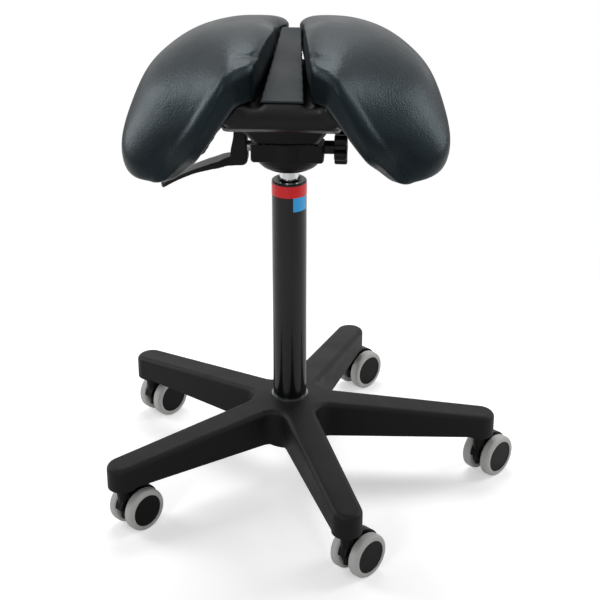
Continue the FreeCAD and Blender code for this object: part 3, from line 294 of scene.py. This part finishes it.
def leather(name, tint, grain_mm, depth_mm, low, high, **shader):
    """Coated cloth with a pressed grain: pebbles with shallow valleys, and soft broad reflections."""
    finish, tree, place, patch, skin = new_finish(name, tint, 0.12, 60, **shader)
    rough_range(tree, skin, patch, low, high)
    bent = add(tree, "ShaderNodeTexNoise", {"Vector": place, "Scale": 0.5 / (grain_mm * MM), "Detail": 1.0})
    moved = add(tree, "ShaderNodeVectorMath", {0: bent.outputs["Color"], 1: [grain_mm * MM] * 3},
                operation="MULTIPLY")
    moved = add(tree, "ShaderNodeVectorMath", {0: moved.outputs[0], 1: place}, operation="ADD")
    pebble = add(tree, "ShaderNodeTexVoronoi", {"Vector": moved.outputs[0], "Scale": 1 / (grain_mm * MM)},
                 feature="F1")
    press = add(tree, "ShaderNodeBump", {"Height": pebble.outputs["Distance"], "Strength": 1.0,
                                         "Distance": depth_mm * MM}, invert=True)
    slack = add(tree, "ShaderNodeTexNoise", {"Vector": place, "Scale": 1 / (22 * MM), "Detail": 2.0})
    soft = add(tree, "ShaderNodeBump", {"Height": slack.outputs["Fac"], "Strength": 1.0,
                                        "Distance": 0.5 * MM, "Normal": press.outputs[0]})
    tree.links.new(soft.outputs[0], skin.inputs["Normal"])
    return finish


def moulded(name, tint, grain_mm, depth_mm, low, high, **shader):
    """Moulded plastic or powder coat: the tool's spark texture as a fine even grain."""
    finish, tree, place, patch, skin = new_finish(name, tint, 0.1, 45, **shader)
    rough_range(tree, skin, patch, low, high)
    grain = add(tree, "ShaderNodeTexNoise", {"Vector": place, "Scale": 1 / (grain_mm * MM), "Detail": 3.0,
                                             "Roughness": 0.6})
    bump = add(tree, "ShaderNodeBump", {"Height": grain.outputs["Fac"], "Strength": 1.0,
                                        "Distance": depth_mm * MM})
    tree.links.new(bump.outputs[0], skin.inputs["Normal"])
    return finish


def metal(name, tint, low, high, stretch, **shader):
    """Bare or plated steel: fine turned lines round the axis of the piece."""
    finish, tree, place, patch, skin = new_finish(name, tint, 0.04, 30, Metallic=1.0, **shader)
    drawn = add(tree, "ShaderNodeMapping", {"Vector": place, "Scale": stretch})
    lines = add(tree, "ShaderNodeTexNoise", {"Vector": drawn.outputs[0], "Scale": 1 / (0.8 * MM), "Detail": 2.0})
    rough_range(tree, skin, lines.outputs["Fac"], low, high)
    return finish


# --- The pieces ---

class StoolOperator(bpy.types.Operator):
    bl_options = {"REGISTER", "UNDO"}

    @property
    def colours(self):
        return bpy.context.scene.stool_colours

    @property
    def sizes(self):
        return bpy.context.scene.stool_sizes


class OBJECT_OT_stool_pads(StoolOperator):
    """Makes the two pads: a cover that is filled until it crowns, with the fold of its inner corner"""

    bl_idname = "object.stool_pads"
    bl_label = "Pads"

    def execute(self, context):
        sizes = self.sizes
        # Synthetic leather, coated and embossed: a fine pebble grain and a soft broad sheen.
        # The real grain is about 1 mm, drawn at 2.6 mm so that it shows.
        cover = leather("synthetic_leather_embossed", self.colours.leather, 2.6, 0.22, 0.3, 0.4,
                        **{"Specular IOR Level": 0.3, "Specular Tint": rgba(linear("#c3e2ee"))})
        right = copy_of("pad_right", "Pad_right")
        even_mesh(right, sizes.pad_voxel)
        self.fill(right, sizes)
        self.fold(right)
        shaped(right, "SMOOTH", factor=0.5, iterations=1)
        shaped(right, "SUBSURF", levels=1, render_levels=1)
        left = bpy.data.objects.new("Pad_left", right.data.copy())
        context.scene.collection.objects.link(left)
        only(left)
        bpy.ops.object.mode_set(mode="EDIT")
        bpy.ops.mesh.select_all(action="SELECT")
        bpy.ops.transform.resize(value=(-1, 1, 1), center_override=(0, 0, 0))
        bpy.ops.mesh.normals_make_consistent(inside=False)
        bpy.ops.object.mode_set(mode="OBJECT")
        pull(left, LEFT_PAD_PULLS)
        pull(right, RIGHT_PAD_PULLS)
        for piece, node in ((right, "pad_right"), (left, "pad_left")):
            piece.data.shade_smooth()
            dressed(piece, "seat", node, cover)
        return {"FINISHED"}

    def fill(self, pad, sizes):
        """Fills the cover with cloth under pressure, and caps how far it moves."""
        only(pad)
        bpy.ops.object.mode_set(mode="EDIT")
        bpy.ops.mesh.select_all(action="SELECT")
        bpy.ops.transform.shrink_fatten(value=-sizes.pad_room)
        bpy.ops.object.mode_set(mode="OBJECT")
        rest = [v.co.copy() for v in pad.data.vertices]
        facing = [v.normal.copy() for v in pad.data.vertices]
        beside = [[] for _ in rest]
        for a, b in (edge.vertices for edge in pad.data.edges):
            beside[a].append(b)
            beside[b].append(a)
        cloth = pad.modifiers.new("Cloth", "CLOTH")
        cloth.settings.use_pressure = True
        cloth.settings.uniform_pressure_force = FILL_PRESSURE
        cloth.settings.effector_weights.gravity = 0
        cloth.settings.tension_stiffness = COVER_STIFFNESS
        cloth.settings.compression_stiffness = COVER_STIFFNESS
        cloth.point_cache.frame_start = 1
        cloth.point_cache.frame_end = sizes.fill_frames
        for step in range(1, sizes.fill_frames + 1):
            bpy.context.scene.frame_set(step)
        only(pad)
        bpy.ops.object.modifier_apply(modifier=cloth.name)
        bpy.context.scene.frame_set(1)
        # The foam holds the cover: it only rises or sinks, by a capped step that is evened out.
        rise = [min(sizes.pad_crown, max(0, (vertex.co - start).dot(normal)))
                for vertex, start, normal in zip(pad.data.vertices, rest, facing)]
        for _ in range(EVENING):
            rise = [(r + sum(rise[i] for i in near)) / (1 + len(near)) for r, near in zip(rise, beside)]
        for vertex, start, normal, step in zip(pad.data.vertices, rest, facing, rise):
            vertex.co = start + normal * step

    def fold(self, pad):
        """Draws the cover in along the fold at the inner front corner."""
        for line, reach, depth in PAD_FOLDS:
            points = [Vector(p) * MM for p in line]
            for vertex in pad.data.vertices:
                gap = min(distance_to(vertex.co, a, b) for a, b in zip(points, points[1:])) / (reach * MM)
                if gap < 3:
                    vertex.co -= vertex.normal * depth * MM * math.exp(-gap ** 2)


class OBJECT_OT_stool_shell(StoolOperator):
    """Makes the moulded shell with the soft edges of its nose and wings"""

    bl_idname = "object.stool_shell"
    bl_label = "Seat shell"

    def execute(self, context):
        # Polypropylene from a polished tool: near black, one soft wide highlight along the nose.
        finish = moulded("polypropylene_moulded_satin", self.colours.shell, 2.2, 0.05, 0.3, 0.38,
                         **{"Specular IOR Level": 0.26})
        shell = copy_of("seat_shell", "Seat_shell")
        even_mesh(shell, self.sizes.shell_voxel)
        shaped(shell, "SMOOTH", factor=0.5, iterations=self.sizes.shell_rounds)
        pull(shell, SHELL_PULLS)
        shell.data.shade_smooth()
        dressed(shell, "seat", "seat_shell", finish)
        return {"FINISHED"}


class OBJECT_OT_stool_strip(StoolOperator):
    """Makes the textured strip between the pads"""

    bl_idname = "object.stool_strip"
    bl_label = "Centre strip"

    def execute(self, context):
        # Soft touch moulding with a coarse spark texture: a flat, even, dark grey band.
        # The real grain is about 0.8 mm, drawn at 2.4 mm so that it shows.
        finish = moulded("thermoplastic_elastomer_spark_texture", self.colours.strip, 2.4, 0.3, 0.5, 0.6,
                         **{"Specular IOR Level": 0.2})
        strip = copy_of("centre_strip", "Centre_strip")
        even_mesh(strip, self.sizes.strip_voxel)
        shaped(strip, "SMOOTH", factor=0.5, iterations=self.sizes.strip_rounds)
        strip.data.shade_smooth()
        dressed(strip, "seat", "centre_strip", finish)
        return {"FINISHED"}


class OBJECT_OT_stool_lever(StoolOperator):
    """Makes the moulded height lever with its knuckle and paddle"""

    bl_idname = "object.stool_lever"
    bl_label = "Height lever"

    def execute(self, context):
        # Glass-filled nylon: satin black with soft highlights along the paddle's edges.
        finish = moulded("nylon_moulded_satin", self.colours.lever, 1.8, 0.05, 0.32, 0.4,
                         **{"Specular IOR Level": 0.18})
        lever = copy_of("height_lever", "Height_lever")
        even_mesh(lever, self.sizes.lever_voxel)
        self.spread(lever, self.sizes)
        shaped(lever, "SMOOTH", factor=0.5, iterations=self.sizes.lever_rounds)
        lever.data.shade_smooth()
        dressed(lever, "lever", "height_lever", finish)
        finish_nodes(["star_knob"], finish)
        return {"FINISHED"}


    def spread(self, lever, sizes):
        """Widens the paddle to a flat hand grip and bulges the knuckle over it."""
        pin = joint_place("lever_lift")
        tip = min(v.co.x for v in lever.data.vertices)
        for vertex in lever.data.vertices:
            along = (pin.x - vertex.co.x) / (pin.x - tip)
            bulge = share_of(pin.z - vertex.co.z, 12 * MM, 36 * MM)
            paddle = share_of(along, 0.1, 0.3)
            here = KNUCKLE_HALF + (PADDLE_HALF - KNUCKLE_HALF) * share_of(along, 0.1, 0.8)
            wide = 1 + (sizes.paddle_half - PADDLE_TAPER * along) / here * paddle - paddle
            swell = KNUCKLE_BULGE * bulge * (1 - paddle)
            vertex.co.y *= wide * (1 + swell)
            vertex.co.x += (vertex.co.x - pin.x) * swell


class OBJECT_OT_stool_mechanism(StoolOperator):
    """Finishes the tilt mechanism: housing, pan, bolt, bracket and finger"""

    bl_idname = "object.stool_mechanism"
    bl_label = "Tilt mechanism"

    def execute(self, context):
        # Cast housing and pressed pan, powder coated: satin black with a faint orange peel.
        coat = moulded("cast_aluminium_powder_coated", self.colours.mechanism, 3.0, 0.06, 0.34, 0.42,
                       **{"Specular IOR Level": 0.18})
        finish_nodes(["tilt_housing", "seat_pan"], coat)
        # Zinc-plated steel: grey, with fine lines from turning.
        plain = metal("steel_zinc_plated", linear("#8d9094"), 0.3, 0.45, (1, 1, 0.1))
        finish_nodes(["tilt_bolt", "friction_washers", "lever_finger", "lever_bracket", "pan_screws"], plain)
        return {"FINISHED"}


class OBJECT_OT_stool_column(StoolOperator):
    """Finishes the gas-lift column, its bare band and label, and what moves inside"""

    bl_idname = "object.stool_column"
    bl_label = "Column"

    def execute(self, context):
        colours = self.colours
        # Drawn steel tube, enamelled: gloss black with long upright streaks of light.
        enamel = moulded("steel_tube_gloss_enamel", colours.column, 9.0, 0.02, 0.14, 0.2,
                         **{"Specular IOR Level": 0.4})
        finish_nodes(["column_tube"], enamel)
        # Acetal guide bush: black and a little softer than the enamel.
        bush = moulded("acetal_turned", colours.column, 1.5, 0.02, 0.25, 0.32, **{"Specular IOR Level": 0.4})
        finish_nodes(["guide_bush"], bush)
        # Printed polyester film: an even colour under a thin gloss layer.
        for node, tint, name in (("colour_band", colours.band, "polyester_film_red"),
                                 ("column_label", colours.label, "polyester_film_blue")):
            film = moulded(name, tint, 6.0, 0.01, 0.22, 0.3, **{"Specular IOR Level": 0.4})
            finish_nodes([node], film)
        # Hard chrome on the ground cylinder: a mirror with hardly visible grinding lines round it.
        chrome = metal("steel_hard_chromed", linear("#d8dadc"), 0.06, 0.12, (0.1, 0.1, 1))
        finish_nodes(["pressure_cylinder", "piston_rod", "release_pin"], chrome)
        # Ground bearing steel: bright, with a light satin.
        ground = metal("bearing_steel_ground", linear("#b5b8bb"), 0.16, 0.26, (0.1, 0.1, 1))
        finish_nodes(["upper_race", "lower_race", "bearing_balls", "piston", "retaining_clip"], ground)
        return {"FINISHED"}


class OBJECT_OT_stool_base(StoolOperator):
    """Finishes the moulded five-arm base with its sleeve and sockets"""

    bl_idname = "object.stool_base"
    bl_label = "Base"

    def execute(self, context):
        # Glass-filled nylon with a spark texture: matt charcoal, a dusty grain and soft edges.
        # The real grain is about 0.6 mm, drawn at 2.4 mm so that it shows.
        finish = moulded("nylon_glass_filled_spark_texture", self.colours.base, 2.4, 0.3, 0.46, 0.56,
                         **{"Specular IOR Level": 0.16})
        finish_nodes(["star_base"], finish)
        steel = metal("steel_bare_turned", linear("#7f8386"), 0.3, 0.42, (0.1, 0.1, 1))
        finish_nodes(["hub_sleeve", "stem_sockets", "castor_stems"], steel)
        return {"FINISHED"}


class OBJECT_OT_stool_castors(StoolOperator):
    """Finishes the five twin-wheel castors"""

    bl_idname = "object.stool_castors"
    bl_label = "Castors"

    def execute(self, context):
        # Moulded nylon: smooth satin black.
        body = moulded("nylon_moulded_smooth", self.colours.castor, 2.0, 0.04, 0.3, 0.38,
                       **{"Specular IOR Level": 0.15})
        # Cast polyurethane: light grey, matt, with a little dust in its grain.
        tread = moulded("polyurethane_soft_tread", self.colours.tread, 2.5, 0.08, 0.5, 0.62,
                        **{"Specular IOR Level": 0.35})
        steel = metal("steel_axle_drawn", linear("#8d9094"), 0.25, 0.38, (1, 1, 1))
        for k in CASTORS:
            finish_nodes([f"castor_{k}_body", f"castor_{k}_near_hub", f"castor_{k}_far_hub"], body)
            finish_nodes([f"castor_{k}_near_tread", f"castor_{k}_far_tread"], tread)
            finish_nodes([f"castor_{k}_axle"], steel)
        return {"FINISHED"}


class OBJECT_OT_stool_stage(StoolOperator):
    """Sets up the floor, the soft studio light and the camera"""

    bl_idname = "object.stool_stage"
    bl_label = "Stage"

    def execute(self, context):
        self.floor(context)
        self.world(context)
        for name, (place, size, power) in LAMPS.items():
            self.lamp(name, place, size, power)
        data = bpy.data.cameras.new("Camera")
        data.lens = self.sizes.camera_lens
        data.sensor_width = 36
        data.clip_end = 100
        camera = bpy.data.objects.new("Camera", data)
        context.scene.collection.objects.link(camera)
        camera.location = CAMERA_PLACE
        camera.rotation_euler = CAMERA_AIM.to_track_quat("-Z", "Y").to_euler()
        context.scene.camera = camera
        context.scene.view_settings.view_transform = "Standard"
        return {"FINISHED"}

    def floor(self, context):
        bpy.ops.object.select_all(action="DESELECT")
        bpy.ops.mesh.primitive_plane_add(size=30, location=(0, 0, 0))
        plane = context.active_object
        plane.name = "Floor"
        ground = bpy.data.materials.new("paper_backdrop_white")
        ground.use_nodes = True
        tree = ground.node_tree
        tree.nodes.clear()
        # White paper: the camera sees it lifted to white, and the stool's soft shadow stays on it.
        paper = add(tree, "ShaderNodeBsdfDiffuse", {"Color": rgba(self.colours.floor)})
        lift = add(tree, "ShaderNodeEmission", {"Color": (1, 1, 1, 1), "Strength": PAPER_LIFT})
        both = add(tree, "ShaderNodeAddShader", {0: paper.outputs[0], 1: lift.outputs[0]})
        # The stool's shadow reaches about half a metre out, and from there the paper turns to plain white.
        place = add(tree, "ShaderNodeTexCoord").outputs["Object"]
        far = add(tree, "ShaderNodeVectorMath", {0: place}, operation="LENGTH")
        fade = add(tree, "ShaderNodeMapRange", {"Value": far.outputs["Value"], "From Min": SHADOW_REACH[0],
                                                "From Max": SHADOW_REACH[1]}, interpolation_type="SMOOTHSTEP")
        white = add(tree, "ShaderNodeEmission", {"Color": (1, 1, 1, 1), "Strength": 1.0})
        both = add(tree, "ShaderNodeMixShader", {0: fade.outputs["Result"], 1: both.outputs[0],
                                                 2: white.outputs[0]})
        path = add(tree, "ShaderNodeLightPath")
        seen = add(tree, "ShaderNodeMixShader", {0: path.outputs["Is Camera Ray"], 1: paper.outputs[0],
                                                 2: both.outputs[0]})
        out = add(tree, "ShaderNodeOutputMaterial")
        tree.links.new(seen.outputs[0], out.inputs["Surface"])
        plane.data.materials.append(ground)

    def world(self, context):
        world = bpy.data.worlds.new("Studio")
        context.scene.world = world
        world.use_nodes = True
        tree = world.node_tree
        tree.nodes.clear()
        path = add(tree, "ShaderNodeLightPath")
        seen = add(tree, "ShaderNodeMath", {0: path.outputs["Is Camera Ray"], 1: path.outputs["Is Glossy Ray"]},
                   operation="MAXIMUM")
        seen = add(tree, "ShaderNodeMath", {0: seen.outputs[0], 1: path.outputs["Is Transmission Ray"]},
                   operation="MAXIMUM")
        level = add(tree, "ShaderNodeMapRange", {"Value": seen.outputs[0], "To Min": SKY_LEVEL, "To Max": 1.0})
        sky = add(tree, "ShaderNodeBackground", {"Color": (1, 1, 1, 1), "Strength": level.outputs[0]})
        out = add(tree, "ShaderNodeOutputWorld")
        tree.links.new(sky.outputs[0], out.inputs["Surface"])

    def lamp(self, name, place, size, power):
        data = bpy.data.lights.new(name, "AREA")
        data.shape = "RECTANGLE"
        data.size, data.size_y = size
        data.energy = power
        lamp = bpy.data.objects.new(name, data)
        bpy.context.scene.collection.objects.link(lamp)
        lamp.location = place
        aim = LAMP_TARGET - lamp.location
        lamp.rotation_euler = aim.to_track_quat("-Z", "Y").to_euler()
        lamp.visible_camera = False


PIECES = (OBJECT_OT_stool_pads, OBJECT_OT_stool_shell, OBJECT_OT_stool_strip, OBJECT_OT_stool_lever,
          OBJECT_OT_stool_mechanism, OBJECT_OT_stool_column, OBJECT_OT_stool_base, OBJECT_OT_stool_castors,
          OBJECT_OT_stool_stage)


class VIEW3D_PT_stool(bpy.types.Panel):
    """Lists the stool's pieces, sizes and colours in the sidebar"""

    bl_label = "Saddle stool"
    bl_idname = "VIEW3D_PT_stool"
    bl_space_type = "VIEW_3D"
    bl_region_type = "UI"
    bl_category = "Saddle stool"

    def draw(self, context):
        layout = self.layout
        for piece in PIECES:
            layout.operator(piece.bl_idname)
        for group in (context.scene.stool_sizes, context.scene.stool_colours):
            box = layout.box()
            for name in group.__annotations__:
                box.prop(group, name)


CLASSES = (StoolColours, StoolSizes) + PIECES + (VIEW3D_PT_stool,)


def register():
    for item in CLASSES:
        bpy.utils.register_class(item)
    bpy.types.Scene.stool_colours = PointerProperty(type=StoolColours)
    bpy.types.Scene.stool_sizes = PointerProperty(type=StoolSizes)


def unregister():
    del bpy.types.Scene.stool_sizes
    del bpy.types.Scene.stool_colours
    for item in reversed(CLASSES):
        bpy.utils.unregister_class(item)


def main():
    register()
    for piece in PIECES:
        group, name = piece.bl_idname.split(".")
        getattr(getattr(bpy.ops, group), name)()


if __name__ == "__main__":
    main()
